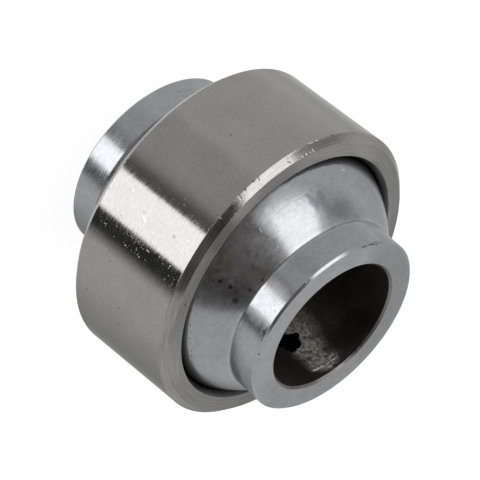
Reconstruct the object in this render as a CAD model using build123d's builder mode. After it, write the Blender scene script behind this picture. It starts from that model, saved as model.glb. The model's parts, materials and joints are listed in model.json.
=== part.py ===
from build123d import *
import math
import os

# Spherical plain bearing with a wide inner ring, which lets its shaft tilt far over.
# A plain outer ring, swaged round the ball, holds a one-piece inner ring: a ball with a
# collar at each end and a bore through all three.
# Lengths in millimetres, angles in degrees. The origin is the centre of the ball, the
# bore runs along Z, and the bearing stands on the end face of its lower collar.

# Inner ring
bore_diameter = 15.875  # takes a 5/8 in bolt or pin
ball_diameter = 31.5
collar_diameter = 21.8
collar_length = 3.63  # from the ball's edge to the end face, 30.0 over both ends
bore_chamfer = 0.25
collar_chamfer = 0.25

# Outer ring
race_clearance = 0.05  # radial running gap between the ball and its race
race_wall = 1.6625  # at the middle of the race, 34.925 (1 3/8 in) over the outside
outer_width = 14.4
ring_chamfer = 0.76  # 45 degrees, leads the ring into its housing
mouth_depth = 0.9  # how far the flared mouth of the race reaches in from a face
mouth_flare = 0.54  # how much wider the mouth is at the face than at its inner edge

# How the outer ring sits on the ball as the bearing lies here
rest_tilt = 4.0

# Worked out from the sizes above
bore_radius = bore_diameter / 2
ball_radius = ball_diameter / 2
collar_radius = collar_diameter / 2
neck_height = math.sqrt(ball_radius**2 - collar_radius**2)  # where a collar cuts into the ball
end_height = neck_height + collar_length
race_radius = ball_radius + race_clearance
outer_radius = race_radius + race_wall
face_height = outer_width / 2
race_edge_height = face_height - mouth_depth
race_edge_radius = math.sqrt(race_radius**2 - race_edge_height**2)
mouth_radius = race_edge_radius + mouth_flare

# The tilted frame of the outer ring: it turns about X through the centre of the ball
ring_frame = Plane.XY.rotated((rest_tilt, 0, 0))
ring_axis = Axis(ring_frame.origin, ring_frame.z_dir)
ring_section_plane = Plane(ring_frame.origin, x_dir=ring_frame.x_dir, z_dir=-ring_frame.y_dir)

# Each section below is drawn with the radius along x and the height along y, as its
# upper half, which is mirrored and then turned about the bearing's axis.

with BuildPart() as inner_ring:
    with BuildSketch(Plane.XZ) as inner_section:
        with BuildLine() as inner_outline:
            Polyline(
                (bore_radius, 0),
                (bore_radius, end_height - bore_chamfer),
                (bore_radius + bore_chamfer, end_height),
                (collar_radius - collar_chamfer, end_height),
                (collar_radius, end_height - collar_chamfer),
                (collar_radius, neck_height),
            )
            CenterArc((0, 0), ball_radius, 0, math.degrees(math.atan2(neck_height, collar_radius)))
            mirror(about=Plane.XZ)
        make_face()
    revolve(axis=Axis.Z)

with BuildPart() as outer_ring:
    with BuildSketch(ring_section_plane) as outer_section:
        with BuildLine() as outer_outline:
            race_arc_size = math.degrees(math.atan2(race_edge_height, race_edge_radius))
            CenterArc((0, 0), race_radius, 0, race_arc_size)
            Polyline(
                (race_edge_radius, race_edge_height),
                (mouth_radius, face_height),
                (outer_radius - ring_chamfer, face_height),
                (outer_radius, face_height - ring_chamfer),
                (outer_radius, 0),
            )
            mirror(about=Plane.XZ)
        make_face()
    revolve(axis=ring_axis)

inner_ring.part.label = "inner_ring"
outer_ring.part.label = "outer_ring"

os.makedirs("parts", exist_ok=True)
export_step(inner_ring.part, "parts/inner_ring.step")
export_step(outer_ring.part, "parts/outer_ring.step")

# A collar meets the edge of the mouth at this tilt, so the ring's travel ends just short of it
mouth_reach = math.hypot(mouth_radius, face_height)
mouth_angle = math.degrees(math.asin(mouth_radius / mouth_reach))
collar_angle = math.degrees(math.asin(collar_radius / mouth_reach))
print(f"over the ends {2 * end_height:.3f}, over the outside {2 * outer_radius:.3f}")
print(f"mouth diameter {2 * mouth_radius:.3f}, bore wall {2 * (end_height - bore_chamfer):.3f}")
print(f"outer cylinder length {outer_width - 2 * ring_chamfer:.3f}")
print(f"the collar meets the mouth at a tilt of {mouth_angle - collar_angle:.2f} degrees")
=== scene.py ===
import json
import math
import bpy
import numpy as np
from mathutils import Euler, Matrix, Vector


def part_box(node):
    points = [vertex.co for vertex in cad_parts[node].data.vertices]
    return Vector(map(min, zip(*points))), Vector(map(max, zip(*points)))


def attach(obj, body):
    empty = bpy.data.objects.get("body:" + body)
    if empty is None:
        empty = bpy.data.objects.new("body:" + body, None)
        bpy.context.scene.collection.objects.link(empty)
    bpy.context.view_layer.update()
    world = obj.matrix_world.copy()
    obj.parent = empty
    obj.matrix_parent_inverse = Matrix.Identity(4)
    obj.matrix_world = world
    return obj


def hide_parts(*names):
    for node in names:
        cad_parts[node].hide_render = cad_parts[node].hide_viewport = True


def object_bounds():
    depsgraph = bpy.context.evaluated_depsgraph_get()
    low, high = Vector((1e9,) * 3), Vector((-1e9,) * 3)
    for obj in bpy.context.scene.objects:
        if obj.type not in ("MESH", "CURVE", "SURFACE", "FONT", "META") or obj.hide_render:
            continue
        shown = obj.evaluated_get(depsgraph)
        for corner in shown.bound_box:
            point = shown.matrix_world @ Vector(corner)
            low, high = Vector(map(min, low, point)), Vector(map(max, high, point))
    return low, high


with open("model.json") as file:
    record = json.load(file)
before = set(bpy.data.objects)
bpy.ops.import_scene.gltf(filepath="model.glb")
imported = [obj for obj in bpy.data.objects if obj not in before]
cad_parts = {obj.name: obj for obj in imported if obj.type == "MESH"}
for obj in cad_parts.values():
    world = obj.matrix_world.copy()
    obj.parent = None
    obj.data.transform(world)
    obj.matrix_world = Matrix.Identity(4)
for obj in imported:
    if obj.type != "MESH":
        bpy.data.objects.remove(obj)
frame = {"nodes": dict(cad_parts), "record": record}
cadLow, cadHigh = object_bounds()
print("frame loaded:", sorted(frame["nodes"]))

mounts = {mount["name"]: mount for mount in frame["record"]["mounts"]}
mm = 0.001
scene = bpy.context.scene
scene.view_settings.view_transform = "Standard"


# Shader maths: a number in a node tree, on which plain arithmetic adds Math nodes
class Value:
    def __init__(self, graph, socket):
        self.graph = graph
        self.socket = socket

    def __add__(self, other):
        return self.graph.math("ADD", self, other)

    def __sub__(self, other):
        return self.graph.math("SUBTRACT", self, other)

    def __rsub__(self, other):
        return self.graph.math("SUBTRACT", other, self)

    def __mul__(self, other):
        return self.graph.math("MULTIPLY", self, other)

    def __pow__(self, other):
        return self.graph.math("POWER", self, other)

    def __abs__(self):
        return self.graph.math("ABSOLUTE", self)

    __radd__ = __add__
    __rmul__ = __mul__


class Graph:
    def __init__(self, tree):
        self.tree = tree
        tree.nodes.clear()

    # Adds one node: its settings come first, then the values or links of its sockets, by name or by number
    def node(self, kind, settings=None, sockets=(), output=0):
        made = self.tree.nodes.new(kind)
        for name, setting in (settings or {}).items():
            setattr(made, name, setting)
        named = sockets if isinstance(sockets, dict) else dict(enumerate(sockets))
        for name, given in named.items():
            if isinstance(given, Value):
                self.tree.links.new(given.socket, made.inputs[name])
            else:
                made.inputs[name].default_value = given
        return Value(self, made.outputs[output]) if made.outputs else None

    def math(self, operation, *inputs):
        return self.node("ShaderNodeMath", {"operation": operation}, inputs)

    # The highest of several numbers
    def highest(self, values):
        result = values[0]
        for value in values[1:]:
            result = self.math("MAXIMUM", result, value)
        return result

    # 1 for rays of the given kinds, such as Camera, and 0 for others
    def isRay(self, *kinds):
        path = self.node("ShaderNodeLightPath").socket.node
        return self.highest([Value(self, path.outputs[f"Is {kind} Ray"]) for kind in kinds])

    def coordinates(self, output="Object"):
        return self.node("ShaderNodeTexCoord", output=output)

    def mapped(self, vector, rotation=(0, 0, 0), scale=(1, 1, 1)):
        sockets = {"Vector": vector, "Rotation": rotation, "Scale": scale}
        return self.node("ShaderNodeMapping", {"vector_type": "POINT"}, sockets)

    def parts(self, vector):
        split = self.node("ShaderNodeSeparateXYZ", None, [vector]).socket.node
        return [Value(self, socket) for socket in split.outputs]

    def vector(self, operation, *inputs):
        return self.node("ShaderNodeVectorMath", {"operation": operation}, inputs)

    # Low at the first limit, high at the second, with a smooth start and end
    def ease(self, value, start, end, low=0.0, high=1.0):
        sockets = {0: value, 1: start, 2: end, 3: low, 4: high}
        return self.node("ShaderNodeMapRange", {"interpolation_type": "SMOOTHSTEP"}, sockets)

    # Noise lies mostly between 0.3 and 0.7, and this makes it swing by an amount to each side of a middle
    def swing(self, noise, amount, middle=1.0):
        return self.ease(noise, 0.3, 0.7, middle - amount, middle + amount)

    # A number with a plain value and another one in each zone. A zone is its mask and its value
    def zoned(self, plain, *zones):
        number = plain
        for mask, value in zones:
            number = number + mask * (value - plain)
        return number

    def noise(self, vector, scale, detail=2.0, roughness=0.5, w=None):
        sockets = {"Vector": vector, "Scale": scale, "Detail": detail, "Roughness": roughness}
        if w is None:
            return self.node("ShaderNodeTexNoise", {"noise_dimensions": "3D"}, sockets)
        sockets["W"] = w
        return self.node("ShaderNodeTexNoise", {"noise_dimensions": "4D"}, sockets)

    def blend(self, factor, first, second):
        return self.node("ShaderNodeMix", {"data_type": "RGBA"}, {0: factor, 6: first, 7: second}, 2)

    # A colour made lighter or darker by a number
    def shaded(self, colour, tone):
        tones = self.node("ShaderNodeCombineXYZ", None, [tone, tone, tone])
        return self.vector("MULTIPLY", colour, tones)

    def bump(self, height, distance, under=None):
        sockets = {"Strength": 1.0, "Distance": distance, "Height": height}
        if under:
            sockets["Normal"] = under
        return self.node("ShaderNodeBump", None, sockets)


# An empty material and the graph of its nodes
def newMaterial(name):
    material = bpy.data.materials.new(name)
    material.use_nodes = True
    return material, Graph(material.node_tree)


# A plain grey, which warmth shifts from blue towards red
def grey(level, warmth=0.0):
    return (level * (1 + warmth), level, level * (1 - warmth), 1)


# The studio

frontAzimuth = -10.86  # degrees from +X towards +Y: the side of the bearing that the photograph shows

studio = dict(
    # The camera was fitted to the outlines of both rings in the photograph
    cameraAzimuth=frontAzimuth,
    cameraElevation=29.29,  # degrees
    cameraDistance=326.9 * mm,
    cameraRoll=132.52,  # degrees: the photograph shows the bore's axis running down to the right
    lens=231.2,  # mm
    sensorWidth=36,  # mm
    clipStart=10 * mm,
    clipEnd=20,  # m
    aimRight=-0.03 * mm,  # how far the camera's aim lies from the ball's centre
    aimUp=0.18 * mm,
    tentLevel=0.90,
    floorHalf=1.5,  # m, from its middle to each side
    floorGlow=0.93,
    floorColour=0.80,
    floorColourSeen=0.16,  # what the camera sees of it beside the glow, which keeps a faint shadow
    # A panel spans some azimuth, in degrees from the front and past 180 behind the object, and some
    # elevation. Its fade is how wide its left, right, low and high limits soften, in degrees, and a lean
    # moves it sideways by that many degrees for each degree up. Most panels were first set, then
    # fitted to the photograph's brightness by another program and rounded, and changed in part since
    panels=[
        # darker walls of the tent, and the brighter one at the back
        dict(level=0.34, azimuth=(120, 175), elevation=(-70, -3), fade=(72, 8, 20, 26)),
        dict(level=0.59, azimuth=(-176, -122), elevation=(-70, 0), fade=(6, 48, 20, 26)),
        dict(level=0.80, azimuth=(-132, -35), elevation=(-70, -5), fade=(23, 40, 20, 20)),
        dict(level=0.684, azimuth=(-39, -2), elevation=(-70, -5), fade=(12, 9, 20, 20)),
        dict(level=0.60, azimuth=(-128, -69), elevation=(19, 36), fade=(10, 10, 9, 16)),
        dict(level=1.25, azimuth=(150, 215), elevation=(29, 70), fade=(40, 40, 4, 20)),
        # the floor of the tent behind the object
        dict(level=0.86, azimuth=(135, 215), elevation=(-100, -44), fade=(30, 30, 10, 8)),
        dict(level=0.64, azimuth=(135, 215), elevation=(-100, -58), fade=(30, 30, 10, 10)),
        # the opening for the camera, above and below
        dict(level=0.22, azimuth=(-36, 39), elevation=(5, 70), fade=(13, 18, 20, 8), warmth=0.06),
        dict(level=0.15, azimuth=(32, 68), elevation=(5, 70), fade=(22, 12, 20, 8), warmth=0.04),
        dict(level=0.13, azimuth=(-44, 8), elevation=(44, 76), fade=(10, 24, 16, 8), warmth=0.08),
        dict(level=0.21, azimuth=(0.5, 30), elevation=(-60, -6), fade=(19, 9, 10, 10), warmth=0.03),
        dict(level=0.06, azimuth=(30, 64), elevation=(-60, -6), fade=(9, 15, 10, 10), warmth=0.01),
        # two softboxes, one high and one low
        dict(level=2.88, azimuth=(-84, -32.5), elevation=(24, 79), fade=(6, 13, 13, 9), lean=-0.29),
        dict(level=2.92, azimuth=(15.5, 45.5), elevation=(-52, -2), fade=(2.5, 2.5, 5, 3), lean=0.14),
    ],
)


# A patch of the tent: 1 between its limits of azimuth and elevation, easing to 0 over each limit's fade
def patch(graph, azimuth, elevation, panel):
    left, right = panel["azimuth"]
    low, high = panel["elevation"]
    middle = (left + right) / 2
    offset = azimuth - middle
    if "lean" in panel:
        offset = offset - (elevation - (low + high) / 2) * panel["lean"]
    offset = graph.math("WRAP", offset, 180, -180)
    leftFade, rightFade, lowFade, highFade = [fade / 2 for fade in panel["fade"]]
    left -= middle
    right -= middle
    mask = graph.ease(offset, left - leftFade, left + leftFade)
    mask = graph.ease(offset, right + rightFade, right - rightFade) * mask
    mask = graph.ease(elevation, low - lowFade, low + lowFade) * mask
    return graph.ease(elevation, high + highFade, high - highFade) * mask


# The level of the tent in each direction, as metal sees it: pale, with an opening towards the camera and
# two softboxes. The camera itself sees plain white
def makeWorld():
    world = bpy.data.worlds.new("tent")
    scene.world = world
    world.use_nodes = True
    graph = Graph(world.node_tree)
    turned = (0, 0, -math.radians(frontAzimuth))
    x, y, z = graph.parts(graph.mapped(graph.coordinates("Generated"), turned))
    azimuth = graph.math("ARCTAN2", y, x) * math.degrees(1)
    elevation = graph.math("ARCSINE", z) * math.degrees(1)
    colour = grey(studio["tentLevel"])
    for panel in studio["panels"]:
        paint = grey(panel["level"], panel.get("warmth", 0.0))
        colour = graph.blend(patch(graph, azimuth, elevation, panel), colour, paint)
    colour = graph.blend(graph.isRay("Camera", "Transmission"), colour, grey(1))
    shader = graph.node("ShaderNodeBackground", None, {"Color": colour, "Strength": 1.0})
    graph.node("ShaderNodeOutputWorld", None, {"Surface": shader})


# White to the camera with a faint shadow; metal sees the tent through it, as in the photograph
def makeFloor():
    half = studio["floorHalf"]
    height = cadLow.z
    corners = [(-half, -half, height), (half, -half, height), (half, half, height), (-half, half, height)]
    mesh = bpy.data.meshes.new("floor")
    mesh.from_pydata(corners, [], [(0, 1, 2, 3)])
    floor = bpy.data.objects.new("floor", mesh)
    scene.collection.objects.link(floor)
    material, graph = newMaterial("floorPaper")
    isSeen = graph.isRay("Camera", "Transmission")
    colour = graph.blend(isSeen, grey(studio["floorColour"]), grey(studio["floorColourSeen"]))
    paper = graph.node("ShaderNodeBsdfDiffuse", None, {"Color": colour})
    sockets = {"Color": grey(1), "Strength": isSeen * studio["floorGlow"]}
    glow = graph.node("ShaderNodeEmission", None, sockets)
    both = graph.node("ShaderNodeAddShader", None, [paper, glow])
    clear = graph.node("ShaderNodeBsdfTransparent")
    shader = graph.node("ShaderNodeMixShader", None, [graph.isRay("Glossy"), both, clear])
    graph.node("ShaderNodeOutputMaterial", None, {"Surface": shader})
    mesh.materials.append(material)


# The camera looks at the ball's centre from its azimuth and elevation, turned about its own line of sight
def makeCamera():
    azimuth = math.radians(studio["cameraAzimuth"])
    elevation = math.radians(studio["cameraElevation"])
    flat = math.cos(elevation)
    back = Vector((flat * math.cos(azimuth), flat * math.sin(azimuth), math.sin(elevation)))
    roll = Matrix.Rotation(math.radians(studio["cameraRoll"]), 3, "Z")
    turn = (-back).to_track_quat("-Z", "Y").to_matrix() @ roll
    aim = turn @ Vector((studio["aimRight"], studio["aimUp"], 0))
    data = bpy.data.cameras.new("camera")
    data.sensor_width = studio["sensorWidth"]
    data.lens = studio["lens"]
    data.clip_start = studio["clipStart"]
    data.clip_end = studio["clipEnd"]
    camera = bpy.data.objects.new("camera", data)
    camera.matrix_world = Matrix.Translation(back * studio["cameraDistance"] + aim) @ turn.to_4x4()
    scene.collection.objects.link(camera)
    scene.camera = camera


makeCamera()
makeWorld()
makeFloor()
print("studio ready")


# Sections of the two rings

# Points on an arc about a centre, from one angle to another in radians: centre + radius * (cos, sin)
def arc(centre, radius, start, end, count):
    angle = np.linspace(start, end, count)
    return np.column_stack([centre[0] + radius * np.cos(angle), centre[1] + radius * np.sin(angle)])


# A line through corners (radius, height). Each inner corner becomes an arc that touches both of its runs,
# at rounding * tan(turn / 2) from the corner, and the runs between are cut into even steps
def roundedLine(corners, size):
    rounding = size["edgeRounding"]
    corners = np.array(corners, float)
    runs = np.diff(corners, axis=0)
    ways = runs / np.linalg.norm(runs, axis=1)[:, None]
    pieces = [corners[:1]]
    for corner, before, after in zip(corners[1:-1], ways[:-1], ways[1:]):
        turn = math.atan2(before[0] * after[1] - before[1] * after[0], before @ after)
        cut = rounding * math.tan(abs(turn) / 2)
        side = np.array([-before[1], before[0]]) * math.copysign(1, turn)
        centre = corner - before * cut + side * rounding
        start = math.atan2(-side[1], -side[0])
        pieces.append(arc(centre, rounding, start, start + turn, size["edgePoints"]))
    pieces.append(corners[-1:])
    line = [pieces[0]]
    for before, after in zip(pieces[:-1], pieces[1:]):
        run = after[0] - before[-1]
        count = max(2, math.ceil(np.linalg.norm(run) / size["step"]))
        share = np.linspace(0, 1, count + 1)[1:-1, None]
        line += [before[-1] + share * run, after]
    return np.vstack(line)


# The half section from height 0 upwards and its mirror image back down, as one closed line without repeats
def closedSection(*parts):
    upper = np.vstack(parts)
    line = np.vstack([upper, upper[::-1] * [1, -1]])
    stepLength = np.linalg.norm(line - np.roll(line, 1, axis=0), axis=1)
    return line[stepLength > 1e-6 * mm]


# The surface swept by a closed section about an axis, which is axis * height + radius * (across * cos +
# beyond * sin), with the section's own normals turned with it
def revolved(name, section, axis, around):
    axis = np.array(axis, float)
    across = np.array([1.0, 0.0, 0.0])
    beyond = np.cross(axis, across)
    angle = np.linspace(0, 2 * np.pi, around, endpoint=False)
    outward = np.cos(angle)[:, None] * across + np.sin(angle)[:, None] * beyond

    def swept(profile):
        return (profile[:, 0, None, None] * outward + profile[:, 1, None, None] * axis).reshape(-1, 3)

    # the sign of the section's area tells which way round its line runs
    before = np.roll(section, 1, axis=0)
    after = np.roll(section, -1, axis=0)
    winding = np.sign(np.sum(section[:, 0] * after[:, 1] - section[:, 1] * after[:, 0]))
    tangent = after - before
    tangent *= winding / np.linalg.norm(tangent, axis=1)[:, None]
    points = swept(section)
    normals = swept(np.column_stack([tangent[:, 1], -tangent[:, 0]]))

    count = len(section)
    row, column = np.meshgrid(np.arange(count), np.arange(around), indexing="ij")
    nextRow = (row + 1) % count
    nextColumn = (column + 1) % around
    rows = np.stack([row, row, nextRow, nextRow])
    columns = np.stack([column, nextColumn, nextColumn, column])
    quads = (rows * around + columns).reshape(4, -1).T
    if winding < 0:
        quads = quads[:, ::-1]
    mesh = bpy.data.meshes.new(name)
    mesh.from_pydata(points, [], quads.tolist())
    mesh.polygons.foreach_set("use_smooth", np.ones(len(quads), bool))
    mesh.normals_split_custom_set_from_vertices(normals)
    piece = bpy.data.objects.new(name, mesh)
    scene.collection.objects.link(piece)
    return piece


# The inner ring: a ball with a collar at each end and a bore through all three

innerRing = dict(
    boreRadius=mounts["bore"]["dims"]["r_mm"] * mm,
    ballRadius=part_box("inner_ring")[1][0],
    endHeight=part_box("inner_ring")[1][2],
    collarRadius=10.9 * mm,
    boreChamfer=0.25 * mm,
    collarChamfer=0.25 * mm,
    neckRadius=0.12 * mm,  # left in the corner by the nose of the tool
    edgeRounding=0.04 * mm,
    edgePoints=6,
    neckPoints=8,
    ballPoints=48,
    step=0.5 * mm,
    around=400,
)


# Bore wall, end face and collar are one rounded line, and the neck's arc touches the collar and the ball
# from outside
def innerSection():
    size = innerRing
    bore = size["boreRadius"]
    end = size["endHeight"]
    collar = size["collarRadius"]
    ball = size["ballRadius"]
    neck = size["neckRadius"]
    neckCentre = np.array([collar + neck, math.sqrt((ball + neck) ** 2 - (collar + neck) ** 2)])
    neckAngle = math.atan2(neckCentre[1], neckCentre[0])
    corners = [
        (bore, 0),
        (bore, end - size["boreChamfer"]),
        (bore + size["boreChamfer"], end),
        (collar - size["collarChamfer"], end),
        (collar, end - size["collarChamfer"]),
        (collar, neckCentre[1]),
    ]
    fillet = arc(neckCentre, neck, math.pi, math.pi + neckAngle, size["neckPoints"])
    crown = arc((0, 0), ball, neckAngle, 0, size["ballPoints"])
    return closedSection(roundedLine(corners, size), fillet[1:], crown[1:])


# The outer ring: ground outside, chamfered at both edges, with the race open at two flared mouths

outerRing = dict(
    axis=mounts["outside"]["axis"],
    outerRadius=mounts["outside"]["dims"]["r_mm"] * mm,
    edgeHeight=mounts["outside"]["dims"]["length_mm"] * mm / 2,  # where the ground outside ends
    chamfer=0.76 * mm,
    raceClearance=0.05 * mm,
    mouthDepth=0.9 * mm,
    mouthFlare=0.54 * mm,
    edgeRounding=0.05 * mm,
    edgePoints=6,
    racePoints=24,
    step=0.4 * mm,
    around=400,
)
ringTilt = math.atan2(-outerRing["axis"][1], outerRing["axis"][2])  # radians, about X


# The race is an arc about the ball's centre; mouth, face, chamfer and outside are one rounded line
def outerSection():
    size = outerRing
    outside = size["outerRadius"]
    race = innerRing["ballRadius"] + size["raceClearance"]
    faceHeight = size["edgeHeight"] + size["chamfer"]
    raceHeight = faceHeight - size["mouthDepth"]
    raceRadius = math.sqrt(race**2 - raceHeight**2)
    crown = arc((0, 0), race, 0, math.atan2(raceHeight, raceRadius), size["racePoints"])
    corners = [
        (raceRadius, raceHeight),
        (raceRadius + size["mouthFlare"], faceHeight),
        (outside - size["chamfer"], faceHeight),
        (outside, size["edgeHeight"]),
        (outside, 0),
    ]
    return closedSection(crown, roundedLine(corners, size)[1:])


# Finishes. Lengths on the pieces are millimetres here, and scales are cycles or cells for each millimetre

# A place on a piece in millimetres, upright along the piece's own axis, with +X towards the front
def ownPlace(graph, tilt):
    turned = (-tilt, 0, -math.radians(frontAzimuth))
    return graph.mapped(graph.coordinates(), turned, (1 / mm, 1 / mm, 1 / mm))


# The same place pushed about by noise, so that what is drawn on it gets a ragged edge
def ragged(graph, place, scale, reach):
    sockets = {"Vector": place, "Scale": scale, "Detail": 3.0}
    push = graph.node("ShaderNodeTexNoise", None, sockets, "Color")
    push = graph.vector("SUBTRACT", push, (0.5, 0.5, 0.5))
    return graph.vector("MULTIPLY_ADD", push, (reach, reach, reach), place)


# A long round-ended patch between two points of the surface: 1 along its middle, 0 from its width on
def streak(graph, place, start, end, width, depth):
    way = end - start
    turn = way.to_track_quat("X", "Z").to_euler() if way.length else Euler()
    scale = (way.length / 2 + width, width, width)
    sockets = {"Vector": place, "Location": (start + end) / 2, "Rotation": turn, "Scale": scale}
    inside = graph.node("ShaderNodeMapping", {"vector_type": "TEXTURE"}, sockets)
    near = graph.node("ShaderNodeTexGradient", {"gradient_type": "SPHERICAL"}, [inside], "Fac")
    return graph.ease(near, 0.0, 0.6) * depth


# All marks of a list, each at an (angle, height) or from one to another, on a surface whose radius at each
# height a function gives
def markMask(graph, place, marks, radiusAt):
    streaks = []
    for mark in marks:
        ends = []
        for angle, height in (mark["start"], mark.get("end", mark["start"])):
            radius = mark.get("radius") or radiusAt(height)
            angle = math.radians(angle)
            ends.append(Vector((radius * math.cos(angle), radius * math.sin(angle), height)))
        streaks.append(streak(graph, place, *ends, mark["width"], mark.get("depth", 1.0)))
    return graph.highest(streaks)


# Scattered specks: the middles of Voronoi cells, of which only a share by chance has one. Their size is a
# share of a cell
def specks(graph, place, scale, size, share, depth=1.0):
    cell = graph.node("ShaderNodeTexVoronoi", None, {"Vector": place, "Scale": scale}).socket.node
    chance = graph.parts(Value(graph, cell.outputs["Color"]))[0]
    near = graph.ease(Value(graph, cell.outputs["Distance"]), size, size * 0.4)
    return graph.ease(share - chance, 0.0, 0.03, high=depth) * near


# Short fine scratches: the place is turned and then stretched, which draws its specks out in one direction
def dashes(graph, place, turn, scale, size, share, length=5.0, depth=1.0):
    stretched = graph.mapped(graph.mapped(place, turn), scale=(1 / length, 1, 1))
    return specks(graph, stretched, scale, size, share, depth)


# Fine lines round the axis: noise that is long round the piece and fine along its height and its radius
def lines(graph, place, radius, around, across, detail=2.0):
    stretched = graph.mapped(place, scale=(around, around, across))
    return graph.noise(stretched, 1.0, detail, 0.6, radius * across)


# Puts a finish on the shader's own sockets
def metal(graph, material, colour, metallic, roughness, bump):
    sockets = {"Base Color": colour, "Metallic": metallic, "Roughness": roughness, "Normal": bump}
    shader = graph.node("ShaderNodeBsdfPrincipled", None, sockets)
    graph.node("ShaderNodeOutputMaterial", None, {"Surface": shader})
    print("finish ready:", material.name, "with", len(graph.tree.nodes), "nodes")
    return material


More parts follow.
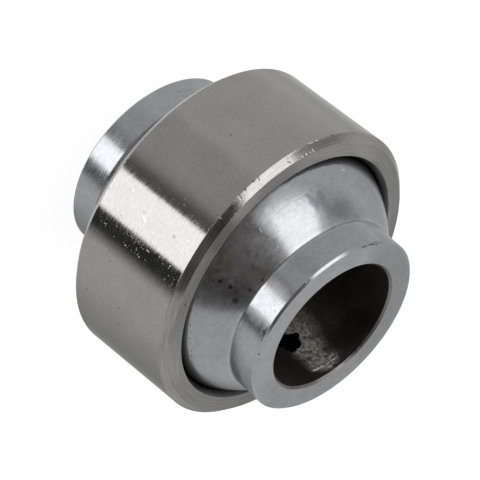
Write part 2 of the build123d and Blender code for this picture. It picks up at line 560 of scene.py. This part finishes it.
groundFinish = dict(
    colour=(0.292, 0.287, 0.282, 1),
    chamferColour=(0.252, 0.248, 0.242, 1),
    faceColour=(0.184, 0.181, 0.178, 1),
    mouthColour=(0.190, 0.186, 0.182, 1),
    # painted shade in the race, deep behind each mouth
    raceShadeColour=(0.030, 0.029, 0.028, 1),
    pitColour=grey(0.02),
    pitCover=0.85,
    burnishAndHighlightColour=(0.640, 0.630, 0.615, 1),
    mouthReach=(1.2, 1.4),  # how far in from the outside the mouth's finish starts, and where it is full
    raceShadeReach=(0.88, 0.34),  # how far up the mouth the painted shade of the race starts, and where it is full
    roughness=0.085,
    chamferRoughness=0.125,
    faceRoughness=0.42,
    mouthRoughness=0.13,
    nickRoughness=0.24,  # these three are added to the steel's
    combRoughness=0.03,
    cloudRoughness=(-0.015, 0.03),
    faceMetallic=0.20,  # dulled by an old film
    # Fine grain, coarser comb marks and tool lines: their scales round the ring and across the lines
    grain=dict(around=2.6, across=6.0),
    comb=dict(around=1.0, across=4.2),
    turning=dict(around=0.22, across=4.6, detail=3.0),
    # Broad and fine unevenness, and how the edges of marks are frayed
    cloud=dict(scale=0.22, detail=3.0, roughness=0.6),
    dust=dict(scale=6.0, detail=2.0, roughness=0.7),
    fray=dict(scale=5.0, reach=0.16),
    # How far each lightens or darkens the steel
    tone=dict(grain=0.06, cloud=0.04, dust=0.05, turning=0.15, nicks=0.2, paintedShades=0.25),
    chamferTurning=0.9,  # as a share of the tool lines on the faces
    # How deep each is, as a share of the depth of grain
    relief=dict(grain=0.7, comb=4.5, chamferComb=9.5, chamferDust=1.5),
    grainDepth=0.0010 * mm,
    nickDepth=0.010 * mm,
    # Wear all over the ring, with turns in radians. Hatch lies on the chamfers, and more cells have a rub
    # mark or a stroke where the ring was scuffed
    flecks=dict(scale=2.2, size=0.12, share=0.22, depth=0.8),
    hatch=dict(turn=(0.0, math.pi / 2, 0.0), scale=3.0, size=0.25, share=0.5, length=3.0, depth=0.5),
    rubs=dict(scale=4.4, size=0.24),
    rubShare=0.006,
    rubShareScuffed=0.646,
    strokes=dict(scale=3.6, size=0.19, length=3.6, depth=0.9),
    strokeTurns=[(0.4, 0.9, 0.3), (1.3, -0.6, 1.9), (0.9, 0.3, -0.8)],
    strokeShare=0.014,
    strokeShareScuffed=0.574,
    scuffPatches=dict(scale=2.2),
    edgeWear=0.25,
    # Marks placed one by one after the photograph, most of them picked in it and traced back through
    # the fitted camera by another program: (degrees round from the front, millimetres up from the middle of
    # the ring). A mark on a face names its radius
    scratches=[
        dict(start=(14.1, 3.2), end=(14.8, 3.6), width=0.14),
        dict(start=(14.0, -1.3), end=(14.5, -1.0), width=0.09, depth=0.8),
        dict(start=(0.3, 6.3), end=(-0.3, 6.6), width=0.12),
        dict(start=(-9.6, 6.40), end=(-9.2, 6.72), width=0.14),
        dict(start=(-20.0, 6.46), end=(-22.0, 6.46), width=0.08, depth=0.7),
        dict(start=(-33.5, 6.75), end=(-34.2, 7.05), width=0.07),
        dict(start=(10.4, 7.2), width=0.10, radius=16.6),
        dict(start=(-31.2, -6.8), width=0.12),
        dict(start=(15.3, -6.3), width=0.10),
    ],
    # Small dark pits and nicks
    pits=[
        dict(start=(36.4, -2.4), width=0.12),
        dict(start=(50.3, 0.3), end=(51.0, 0.1), width=0.10, depth=0.8),
        dict(start=(58.6, -0.1), end=(57.4, 0.5), width=0.09, depth=0.6),
        dict(start=(53.5, -4.7), width=0.11),
        dict(start=(-5.3, -6.4), width=0.11),
        dict(start=(-24.9, 0.4), width=0.12),
        dict(start=(-55.6, -1.6), width=0.13),
        dict(start=(34.3, 7.2), width=0.22, radius=15.9),
        dict(start=(131.0, 7.2), end=(132.2, 7.2), width=0.16, radius=15.7),
        dict(start=(-12.8, 6.42), end=(-12.2, 6.52), width=0.10),
        dict(start=(-15.8, 6.42), end=(-17.2, 6.50), width=0.10),
        dict(start=(-18.6, 6.45), end=(-18.2, 6.72), width=0.08),
        dict(start=(-31.9, 7.10), end=(-30.9, 6.82), width=0.09),
        dict(start=(-53.0, 6.50), end=(-53.8, 6.50), width=0.10),
    ],
    # Burnished scratches, brighter than the ground surface, and one broad painted reflection on the front
    # face
    burnishAndPaintedHighlights=[
        dict(start=(15.3, -1.0), end=(17.1, -0.3), width=0.08),
        dict(start=(17.3, 0.9), end=(18.2, 1.2), width=0.06, depth=0.6),
        dict(start=(10.2, -3.9), end=(10.9, -3.5), width=0.06, depth=0.6),
        dict(start=(12.1, 5.2), end=(12.9, 5.0), width=0.06, depth=0.6),
        dict(start=(-37.4, 7.15), end=(-37.1, 7.04), width=0.10, depth=0.8),
        dict(start=(-39.3, 7.15), end=(-39.0, 7.00), width=0.10, depth=0.9),
        dict(start=(-41.1, 7.15), end=(-40.9, 7.02), width=0.08, depth=0.8),
        dict(start=(-42.6, 7.15), end=(-42.2, 6.94), width=0.10, depth=0.9),
        dict(start=(-41.4, 6.46), end=(-44.2, 6.50), width=0.09, depth=0.8),
        dict(start=(-44.8, 6.48), end=(-46.4, 6.52), width=0.09, depth=0.8),
        dict(start=(-49.0, 6.52), width=0.08, depth=0.6),
        # A broad painted reflection on the front face
        dict(start=(-13.0, 7.2), end=(-5.0, 7.2), width=1.6, radius=16.2, depth=0.12),
        dict(start=(-8.6, 6.40), end=(-9.2, 6.36), width=0.09, depth=0.8),
        dict(start=(26.0, -4.6), width=0.09),
        dict(start=(24.0, 1.3), end=(24.3, 1.7), width=0.08),
        dict(start=(23.1, 3.1), width=0.08),
        dict(start=(23.4, 4.7), width=0.09),
        dict(start=(27.9, 4.8), width=0.08),
        dict(start=(29.5, 6.1), width=0.08),
    ],
    # Painted shade on the faces and chamfers: broad bands towards the back on both sides, and a
    # short one just past the front
    paintedShades=[
        dict(start=(-150, 7.2), end=(-116, 7.2), width=3.6, radius=16.2),
        dict(start=(-116, 7.2), end=(-84, 7.2), width=3.2, radius=16.2),
        dict(start=(76, 7.2), end=(108, 7.2), width=3.2, radius=16.8, depth=0.7),
        dict(start=(108, 7.2), end=(150, 7.2), width=3.6, radius=16.4),
        dict(start=(1, 7.2), end=(9, 7.2), width=1.8, radius=16.1, depth=1.3),
        dict(start=(124, 7.2), end=(142, 7.2), width=2.4, radius=16.4, depth=1.5),
        dict(start=(-142, 7.2), end=(-126, 7.2), width=2.2, radius=16.4, depth=1.5),
    ],
    # Where the ring was rubbed against something: patches of fine specks
    scuffs=[
        dict(start=(24.4, -1.8), end=(23.6, 1.0), width=0.8),
        dict(start=(27.0, -1.2), end=(26.0, 1.2), width=0.7),
        dict(start=(24.6, -5.4), end=(25.6, -4.2), width=0.7, depth=0.3),
        dict(start=(23.4, 1.6), end=(23.4, 4.4), width=0.6, depth=0.4),
        dict(start=(23.8, 4.6), end=(26.0, 5.6), width=0.8, depth=0.35),
        dict(start=(30.5, 4.8), end=(28.4, 5.6), width=0.9, depth=0.4),
        dict(start=(32.8, -3.7), end=(33.8, -3.0), width=0.6, depth=0.8),
        dict(start=(4.9, -3.4), end=(4.8, -1.4), width=0.6, depth=0.2),
        dict(start=(1.6, 0.8), end=(3.8, 2.9), width=0.8, depth=0.9),
        dict(start=(5.2, 3.4), end=(6.8, 4.8), width=0.5, depth=0.4),
    ],
)


# The outer ring: ground outside, cut by a tool on its faces, with painted shade in the race and on the
# faces, and a painted reflection on the front face
def makeGroundSteel():
    look = groundFinish
    material, graph = newMaterial("groundSteel")
    place = ownPlace(graph, ringTilt)
    x, y, z = graph.parts(place)
    radius = (x * x + y * y) ** 0.5
    side = abs(z)
    outside = outerRing["outerRadius"] / mm
    edgeHeight = outerRing["edgeHeight"] / mm
    faceHeight = edgeHeight + outerRing["chamfer"] / mm
    raceHeight = faceHeight - outerRing["mouthDepth"] / mm

    def radiusAt(height):
        return outside - max(0.0, abs(height) - edgeHeight)

    def marked(name, where):
        return markMask(graph, where, look[name], radiusAt)

    # Where each finish lies. The small numbers are how wide one gives way to the next
    mouthStart, mouthFull = [outside - reach for reach in look["mouthReach"]]
    raceShadeStart, raceShadeFull = [raceHeight + reach for reach in look["raceShadeReach"]]
    isFace = graph.ease(side, faceHeight - 0.04, faceHeight - 0.01)
    isChamfer = graph.ease(side, edgeHeight - 0.02, edgeHeight + 0.04) * (1 - isFace)
    isMouth = graph.ease(radius, mouthStart, mouthFull) * (1 - isFace)
    # painted shade deep in the mouth and in the race
    isRaceShade = isMouth * graph.ease(side, raceShadeStart, raceShadeFull)
    isEdge = graph.ease(abs(side - edgeHeight), 0.20, 0.02)

    # Grain and wear
    grain = lines(graph, place, radius, **look["grain"])
    comb = lines(graph, place, radius, **look["comb"])
    turning = lines(graph, place, radius, **look["turning"])
    cloud = graph.noise(place, **look["cloud"])
    dust = graph.noise(place, **look["dust"])
    frayed = ragged(graph, place, **look["fray"])
    burnishAndHighlight = marked("burnishAndPaintedHighlights", frayed)
    pitted = marked("pits", frayed)
    # painted shade on the faces and chamfers
    paintedShadeMask = marked("paintedShades", place) * (isFace + isChamfer)
    scuffed = graph.ease(graph.noise(place, **look["scuffPatches"]), 0.38, 0.56, 0.35, 1.0)
    scuffed = scuffed * marked("scuffs", place)
    rubShare = graph.zoned(look["rubShare"], (scuffed, look["rubShareScuffed"]))
    strokeShare = graph.zoned(look["strokeShare"], (scuffed, look["strokeShareScuffed"]))
    worn = [
        marked("scratches", frayed),
        pitted,
        specks(graph, frayed, **look["flecks"]),
        specks(graph, frayed, **look["rubs"], share=rubShare),
        dashes(graph, place, **look["hatch"]) * isChamfer,
        graph.ease(dust, 0.48, 0.58, high=look["edgeWear"]) * isEdge,
    ]
    for turn in look["strokeTurns"]:
        worn.append(dashes(graph, place, turn, **look["strokes"], share=strokeShare))
    nicks = graph.highest(worn)

    # Colour
    colour = graph.blend(isChamfer, look["colour"], look["chamferColour"])
    colour = graph.blend(isFace, colour, look["faceColour"])
    colour = graph.blend(isMouth, colour, look["mouthColour"])
    # painted shade in the race
    colour = graph.blend(isRaceShade, colour, look["raceShadeColour"])
    amount = look["tone"]
    isCut = graph.highest([isFace, isChamfer * look["chamferTurning"], isMouth])
    tone = graph.swing(grain, amount["grain"]) * graph.swing(cloud, amount["cloud"])
    tone = tone * graph.swing(dust, amount["dust"]) * (1 + nicks * amount["nicks"])
    tone = tone * (1 + graph.ease(turning, 0.34, 0.66, -amount["turning"], amount["turning"]) * isCut)
    # painted shade on the faces and chamfers
    tone = tone * (1 - paintedShadeMask * amount["paintedShades"])
    colour = graph.shaded(colour, tone)
    # burnished marks, and a painted reflection on the front face
    colour = graph.blend(burnishAndHighlight, colour, look["burnishAndHighlightColour"])
    colour = graph.blend(pitted * look["pitCover"], colour, look["pitColour"])

    # Roughness, metal and relief
    roughness = graph.zoned(
        look["roughness"],
        (isChamfer, look["chamferRoughness"]),
        (isFace, look["faceRoughness"]),
        (isMouth, look["mouthRoughness"]),
    )
    roughness = roughness + graph.ease(cloud, 0.35, 0.75, *look["cloudRoughness"])
    roughness = roughness + graph.swing(comb, look["combRoughness"], 0.0)
    roughness = roughness + graph.highest([nicks, burnishAndHighlight]) * look["nickRoughness"]
    metallic = graph.zoned(1, (isFace, look["faceMetallic"]))
    depth = look["relief"]
    relief = grain * depth["grain"] + isChamfer * dust * depth["chamferDust"]
    relief = relief + comb * graph.zoned(depth["comb"], (isChamfer, depth["chamferComb"]))
    fine = graph.bump(relief, look["grainDepth"])
    bump = graph.bump(0 - nicks, look["nickDepth"], fine)
    return metal(graph, material, colour, metallic, roughness, bump)


turnedFinish = dict(
    colour=(0.329, 0.332, 0.348, 1),
    ballColour=(0.300, 0.302, 0.315, 1),
    endColour=(0.262, 0.264, 0.272, 1),
    blueColour=(0.165, 0.178, 0.198, 1),
    brownColour=(0.235, 0.196, 0.142, 1),
    purpleColour=(0.200, 0.178, 0.206, 1),
    pitColour=grey(0.012),
    cutColour=grey(0.03),
    # painted shade in the corner at the neck
    neckShadeColour=grey(0.06),
    boreColour=(0.225, 0.216, 0.200, 1),
    boreOilColour=(0.100, 0.096, 0.088, 1),
    dustColour=(0.390, 0.374, 0.326, 1),
    scoreAndHighlightColour=(0.800, 0.790, 0.760, 1),
    dirtColour=grey(0.003),
    # How far each tint covers the steel, and how far the painted shade at the neck does
    cover=dict(brown=0.9, purple=0.8, cuts=0.85, neck=0.45),
    roughness=0.19,
    ballRoughness=0.185,
    endRoughness=0.15,
    boreRoughness=0.40,
    dustRoughness=0.75,
    hazeRoughness=0.12,  # these four are added to the steel's
    nickRoughness=0.20,
    combRoughness=0.03,
    cloudRoughness=(-0.02, 0.04),
    dustMetallic=0.10,
    # Fine grain and coarser comb marks: their scales round the piece and across the lines
    grain=dict(around=2.0, across=5.5),
    comb=dict(around=0.9, across=3.8),
    # Unevenness from broad to fine, the patches in stains and dust, and how the edges of marks are frayed
    cloud=dict(scale=0.28, detail=5.0, roughness=0.62),
    patches=dict(scale=0.9, detail=4.0, roughness=0.6),
    dust=dict(scale=5.5, detail=2.0, roughness=0.7),
    mottle=dict(scale=1.6, detail=5.0, roughness=0.75),
    dustPatches=dict(scale=3.2, detail=3.0, roughness=0.65),
    wave=dict(scale=1.6, reach=0.9),
    fray=dict(scale=5.0, reach=0.16),
    scoreFray=dict(scale=1.4, reach=0.35),
    # How far each lightens or darkens the steel. The neck's is painted light beside the upper neck
    tone=dict(grain=0.06, patches=0.05, dust=0.04, nicks=0.2, paintedShades=0.25, stainsAndShade=0.48, neck=0.15, darkPatches=0.45),
    # How deep each is, as a share of the depth of grain
    relief=dict(grain=0.7, comb=9.0, boreDust=3.0),
    grainDepth=0.0010 * mm,
    nickDepth=0.008 * mm,
    # Wear all over the piece
    flecks=dict(scale=1.8, size=0.10, share=0.30, depth=0.8),
    strokes=[
        dict(turn=(0.5, 0.8, 0.2), scale=2.0, size=0.12, share=0.12, depth=0.6),
        dict(turn=(1.2, -0.7, 2.0), scale=1.8, size=0.11, share=0.12, depth=0.6),
    ],
    # Marks placed in the same way as on the outer ring: (degrees round from the front, millimetres up from
    # the middle of the ball)
    ballScratches=[
        dict(start=(-10.0, 8.0), end=(-9.4, 8.5), width=0.07),
        dict(start=(-12.6, 9.4), end=(-12.2, 9.6), width=0.06),
        dict(start=(-11.2, 10.1), end=(-10.8, 10.3), width=0.06),
        dict(start=(-20.1, 7.2), end=(-19.5, 7.5), width=0.06),
        dict(start=(-44.0, 6.3), end=(-52.0, 6.6), width=0.06, depth=0.5),
        dict(start=(-33.5, 8.2), end=(-36.5, 8.9), width=0.05, depth=0.7),
        dict(start=(6.5, 6.75), width=0.09),
    ],
    ballPits=[
        dict(start=(19.1, 8.4), width=0.32, depth=0.85),
        dict(start=(18.7, 9.4), width=0.38, depth=0.85),
        dict(start=(23.4, 10.30), width=0.52, depth=0.85),
        dict(start=(14.9, 10.8), width=0.34, depth=0.8),
        dict(start=(6.9, 11.1), width=0.28, depth=0.7),
        dict(start=(20.6, 7.9), width=0.22, depth=0.6),
        dict(start=(0.6, 8.8), width=0.24, depth=0.4),
        dict(start=(-8.7, 7.5), width=0.22, depth=0.4),
        dict(start=(45.2, 7.7), width=0.12, depth=0.8),
        dict(start=(48.5, 7.9), width=0.10, depth=0.8),
        dict(start=(52.5, 7.95), width=0.12, depth=0.8),
        dict(start=(60.3, 8.15), width=0.11, depth=0.8),
        dict(start=(63.8, 8.2), width=0.13, depth=0.8),
        dict(start=(73.9, 8.2), width=0.12, depth=0.8),
        dict(start=(97.0, 7.45), width=0.12, depth=0.8),
    ],
    # A bright nick on the ball, and a painted highlight along a strip of the upper collar
    burnishAndPaintedHighlights=[
        dict(start=(-61.8, 6.85), end=(-64.8, 6.78), width=0.08, depth=0.6),
        # painted highlight on the upper collar
        dict(start=(5.0, 11.6), end=(5.0, 14.4), width=0.9, radius=10.9, depth=0.14),
    ],
    # Stains, tints and haze on the ball; two stain marks are painted shade by the ring's mouth
    ballStainAndShade=[
        dict(start=(8.0, 7.0), end=(4.0, 10.6), width=1.9, depth=0.40),
        dict(start=(18.0, 7.6), end=(15.5, 10.6), width=1.9, depth=0.65),
        dict(start=(1.5, 8.6), end=(-6.0, 10.2), width=1.1, depth=0.60),
        # the next two are painted shade on the ball beside the ring's mouth
        dict(start=(-1.0, 7.25), end=(11.0, 7.35), width=0.9, depth=0.6),
        dict(start=(11.0, 7.35), end=(25.0, 7.75), width=1.0, depth=0.8),
        dict(start=(15.0, 10.9), end=(25.0, 11.1), width=0.9, depth=0.6),
    ],
    ballBrown=[
        dict(start=(8.6, 6.9), end=(10.6, 8.4), width=1.1, depth=0.9),
        dict(start=(4.5, 9.85), width=0.42),
        dict(start=(14.0, 7.2), end=(20.0, 7.6), width=0.7, depth=0.7),
    ],
    ballPurple=[
        dict(start=(17.2, 8.1), end=(14.5, 10.2), width=1.5),
        dict(start=(21.5, 9.6), end=(19.5, 10.7), width=1.0, depth=0.9),
    ],
    ballBlue=[
        dict(start=(-37.3, 8.2), end=(-38.4, 9.4), width=0.65, depth=0.9),
        dict(start=(-39.0, 9.0), end=(-44.0, 8.8), width=0.8, depth=0.5),
        dict(start=(-46, 10.4), end=(-58, 10.0), width=1.4, depth=0.45),
    ],
    ballHaze=[
        dict(start=(3.5, 7.3), end=(-5.5, 10.8), width=2.3),
        dict(start=(-22, 6.6), end=(-34, 6.9), width=1.2, depth=0.8),
        dict(start=(-13, 7.0), end=(-14, 9.0), width=1.2, depth=0.6),
    ],
    # Haze and nicks on the collars
    collarHaze=[
        dict(start=(25.4, 11.6), end=(24.8, 14.4), width=1.1, depth=0.8),
        dict(start=(2.6, 11.6), end=(2.6, 14.4), width=1.0, depth=0.9),
        dict(start=(26.4, -11.6), end=(26.4, -14.4), width=1.3, depth=0.4),
        dict(start=(2.4, -11.6), end=(2.4, -14.4), width=0.9, depth=0.5),
    ],
    collarMarks=[
        dict(start=(-41.9, 14.25), end=(-43.0, 14.45), width=0.06),
        dict(start=(-48.9, 14.34), end=(-50.6, 14.50), width=0.07),
        dict(start=(-7.9, 14.85), width=0.10),
        dict(start=(11.3, 14.15), width=0.06),
        dict(start=(14.4, 14.22), end=(15.0, 14.3), width=0.05),
    ],
    # Dark scratches and nicks on the collars and their edges
    collarCuts=[
        dict(start=(-46.6, 14.90), end=(-52.7, 14.93), width=0.11, radius=10.72),
        dict(start=(-52.7, 14.93), end=(-58.6, 14.95), width=0.11, radius=10.72),
        dict(start=(-58.6, 14.95), end=(-60.6, 15.00), width=0.12, radius=10.60),
        dict(start=(41.2, 14.90), end=(42.0, 14.90), width=0.12, radius=10.72),
        dict(start=(32.2, 14.75), end=(32.8, 14.65), width=0.09, depth=0.8),
        dict(start=(-42.5, 11.45), width=0.11),
        dict(start=(-40.8, -13.32), end=(-44.6, -13.25), width=0.08, depth=0.6),
        dict(start=(-46.4, -13.05), end=(-51.4, -13.06), width=0.08, depth=0.6),
    ],
    # Painted shade on the ends, in bands towards the back on both sides, and on part of the upper collar
    paintedShades=[
        dict(start=(-70, 15), end=(-125, 15), width=3.6, radius=9.4),
        dict(start=(-125, 15), end=(-180, 15), width=3.6, radius=9.4),
        dict(start=(82, 15), end=(124, 15), width=3.2, radius=9.4, depth=0.5),
        dict(start=(124, 15), end=(170, 15), width=3.2, radius=9.4, depth=0.7),
        dict(start=(-54, 12.9), end=(-34, 12.9), width=3.0, depth=0.35),
        dict(start=(-34, 12.9), end=(-14, 12.9), width=3.0, depth=0.45),
    ],
    # The bore's wall: a blot of dirt, dust, darker patches, painted shade on the chamfer's rim, and scored
    # lines
    boreBlot=[
        dict(start=(142, 8.7), end=(148, 8.3), width=0.95),
        dict(start=(146, 9.7), end=(151, 9.4), width=0.80),
        dict(start=(142, 9.6), end=(144, 10.1), width=0.60),
        dict(start=(151.0, 8.5), end=(155.0, 8.8), width=0.65),
    ],
    boreDust=[
        dict(start=(160, 7.2), end=(157, 9.8), width=1.9),
        dict(start=(150, 10.8), end=(158, 11.0), width=1.9),
        dict(start=(166, 6.4), end=(167, 9.6), width=1.7, depth=0.55),
        dict(start=(148, 12.8), end=(160, 13.4), width=1.7, depth=0.9),
    ],
    boreDarkPatches=[
        dict(start=(-158, 13.6), end=(-178, 12.4), width=2.4),
        dict(start=(-165, 4.0), end=(-158, 9.0), width=3.0, depth=0.6),
        dict(start=(88, 8.0), end=(100, 13.5), width=3.0),
        # the last three are painted shade along the rim of the bore's chamfer
        dict(start=(168, 14.9), end=(-162, 14.9), width=0.6, depth=1.2),
        dict(start=(-94, 14.9), end=(-70, 14.9), width=0.6, depth=1.3),
        dict(start=(56, 14.9), end=(78, 14.9), width=0.6, depth=1.5),
    ],
    boreScores=[
        dict(start=(140.3, 13.55), end=(153.0, 13.70), width=0.16),
        dict(start=(153.0, 13.70), end=(166.0, 13.85), width=0.14),
        dict(start=(149.8, 14.18), end=(163.1, 14.12), width=0.12, depth=0.9),
        dict(start=(146.0, 13.1), end=(156.0, 13.2), width=0.11, depth=0.6),
    ],
)


# The bore's wall: dark with oil and darker in patches, with painted shade along the rim of its chamfer,
# dusty where it was rubbed, with a blot of dirt and two scored lines. Gives its colour, and how far dust or
# a scored line covers it
def boreWall(graph, place, wavy, cloud, dust):
    look = turnedFinish
    bore = innerRing["boreRadius"] / mm

    def marked(name, where):
        return markMask(graph, where, look[name], lambda height: bore)

    dirt = graph.ease(marked("boreBlot", wavy) + dust * 0.9, 0.72, 0.90)
    dusty = graph.ease(graph.noise(place, **look["dustPatches"]), 0.38, 0.61, 0.26, 1.0)
    dusty = dusty * marked("boreDust", wavy)
    scored = marked("boreScores", ragged(graph, place, **look["scoreFray"])) * graph.ease(dust, 0.36, 0.48)
    oily = graph.ease(cloud, 0.32, 0.72, 0.30, 0.90)
    colour = graph.blend(oily, look["boreColour"], look["boreOilColour"])
    # darker patches, and painted shade along the rim of the chamfer
    colour = graph.shaded(colour, 1 - marked("boreDarkPatches", wavy) * look["tone"]["darkPatches"])
    colour = graph.blend(dusty, colour, look["dustColour"])
    colour = graph.blend(scored, colour, look["scoreAndHighlightColour"])
    colour = graph.blend(dirt, colour, look["dirtColour"])
    return colour, graph.highest([dusty, scored]) * (1 - dirt)


# The inner ring: turned collars, a worn and stained ball, and a dark oily bore
def makeTurnedSteel():
    look = turnedFinish
    material, graph = newMaterial("turnedSteel")
    place = ownPlace(graph, 0)
    x, y, z = graph.parts(place)
    radius = (x * x + y * y) ** 0.5
    side = abs(z)
    ball = innerRing["ballRadius"] / mm
    bore = innerRing["boreRadius"] / mm
    collar = innerRing["collarRadius"] / mm
    endHeight = innerRing["endHeight"] / mm
    neckHeight = math.sqrt(ball**2 - collar**2)
    neckDistance = ((radius - collar) ** 2 + (side - neckHeight) ** 2) ** 0.5

    def onBall(name, where):
        return markMask(graph, where, look[name], lambda height: math.sqrt(ball**2 - height**2))

    def onCollar(name, where):
        return markMask(graph, where, look[name], lambda height: collar)

    # Where each finish lies. The small numbers are how wide one gives way to the next
    isBall = graph.ease(radius, collar + 0.02, collar + 0.12)
    isBore = graph.ease(radius, bore + 0.30, bore + 0.22)
    isEnd = graph.ease(side, endHeight - 0.04, endHeight - 0.01)

    # Grain and wear
    grain = lines(graph, place, radius, **look["grain"])
    comb = lines(graph, place, radius, **look["comb"])
    cloud = graph.noise(place, **look["cloud"])
    patches = graph.noise(place, **look["patches"])
    dust = graph.noise(place, **look["dust"])
    wavy = ragged(graph, place, **look["wave"])
    frayed = ragged(graph, place, **look["fray"])
    pitted = onBall("ballPits", frayed)
    cuts = onCollar("collarCuts", frayed)
    worn = [onBall("ballScratches", frayed), onCollar("collarMarks", frayed), cuts]
    worn.append(specks(graph, frayed, **look["flecks"]))
    worn += [dashes(graph, place, **stroke) for stroke in look["strokes"]]
    nicks = graph.highest(worn)

    # The ball and the collars: tints, stains, pits, and painted shade by the mouth and on the ends and
    # upper collar. At the neck, a painted light and a painted shade
    amount = look["tone"]
    cover = look["cover"]
    # stains, and painted shade on the ball beside the ring's mouth
    stainedAndShaded = onBall("ballStainAndShade", wavy) * graph.ease(graph.noise(place, **look["mottle"]), 0.38, 0.62)
    brown = onBall("ballBrown", wavy) * graph.ease(patches, 0.25, 0.55, high=cover["brown"])
    purple = onBall("ballPurple", wavy) * graph.ease(patches, 0.65, 0.35, high=cover["purple"])
    haze = graph.highest([onBall("ballHaze", wavy), graph.ease(cloud, 0.50, 0.72, high=0.5)]) * isBall
    haze = haze + onCollar("collarHaze", wavy) * (1 - isBall)
    # painted shade on the ends and the upper collar
    paintedShadeMask = onCollar("paintedShades", place) * (1 - isBall) * (1 - isBore)
    # Painted shade: a dark line in the corner at the neck
    neckShade = graph.ease(neckDistance, 0.17, 0.05) * graph.ease(patches, 0.30, 0.50, 0.4, 1.0)
    # Painted light: the steel is brightened just beside the upper neck
    neckPaintedLight = graph.ease(neckDistance, 0.5, 0.12) * graph.ease(z, -1.0, 1.0)
    colour = graph.blend(isBall, look["colour"], look["ballColour"])
    colour = graph.blend(isEnd, colour, look["endColour"])
    colour = graph.shaded(colour, 1 - paintedShadeMask * amount["paintedShades"])
    colour = graph.blend(brown, colour, look["brownColour"])
    colour = graph.blend(purple, colour, look["purpleColour"])
    colour = graph.blend(onBall("ballBlue", wavy), colour, look["blueColour"])
    colour = graph.shaded(colour, 1 - stainedAndShaded * amount["stainsAndShade"])
    colour = graph.blend(pitted, colour, look["pitColour"])
    colour = graph.blend(cuts * cover["cuts"], colour, look["cutColour"])
    # a bright nick on the ball, and a painted highlight on the upper collar
    colour = graph.blend(onBall("burnishAndPaintedHighlights", frayed), colour, look["scoreAndHighlightColour"])
    # painted light beside the upper neck
    colour = graph.shaded(colour, 1 + neckPaintedLight * amount["neck"])
    # painted shade in the corner at the neck
    colour = graph.blend(neckShade * cover["neck"], colour, look["neckShadeColour"])
    boreColour, coating = boreWall(graph, place, wavy, cloud, dust)
    colour = graph.blend(isBore, colour, boreColour)
    coating = coating * isBore

    # Tone, roughness and relief
    tone = graph.swing(grain, amount["grain"]) * graph.swing(patches, amount["patches"])
    tone = tone * graph.swing(dust, amount["dust"]) * (1 + nicks * amount["nicks"])
    colour = graph.shaded(colour, tone)
    roughness = graph.zoned(
        look["roughness"],
        (isBall, look["ballRoughness"]),
        (isEnd, look["endRoughness"]),
        (isBore, look["boreRoughness"]),
    )
    roughness = roughness + coating * (look["dustRoughness"] - look["boreRoughness"])
    roughness = roughness + graph.ease(cloud, 0.35, 0.75, *look["cloudRoughness"])
    roughness = roughness + graph.swing(comb, look["combRoughness"], 0.0)
    roughness = roughness + haze * look["hazeRoughness"] + (nicks + pitted) * look["nickRoughness"]
    metallic = graph.zoned(1, (coating, look["dustMetallic"]))
    depth = look["relief"]
    relief = grain * depth["grain"] + comb * depth["comb"] + isBore * dust * depth["boreDust"]
    fine = graph.bump(relief, look["grainDepth"])
    bump = graph.bump(0 - graph.highest([nicks, pitted]), look["nickDepth"], fine)
    return metal(graph, material, colour, metallic, roughness, bump)


# Sweeps a ring, gives it its finish and sets it on its body
def addRing(name, section, size, axis, material, node):
    piece = revolved(name, section, axis, size["around"])
    piece.data.materials.append(material)
    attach(piece, node)
    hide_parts(node)
    print(name, "has", len(piece.data.polygons), "faces")


addRing("innerRing", innerSection(), innerRing, (0, 0, 1), makeTurnedSteel(), "inner_ring")
addRing("outerRing", outerSection(), outerRing, outerRing["axis"], makeGroundSteel(), "outer_ring")
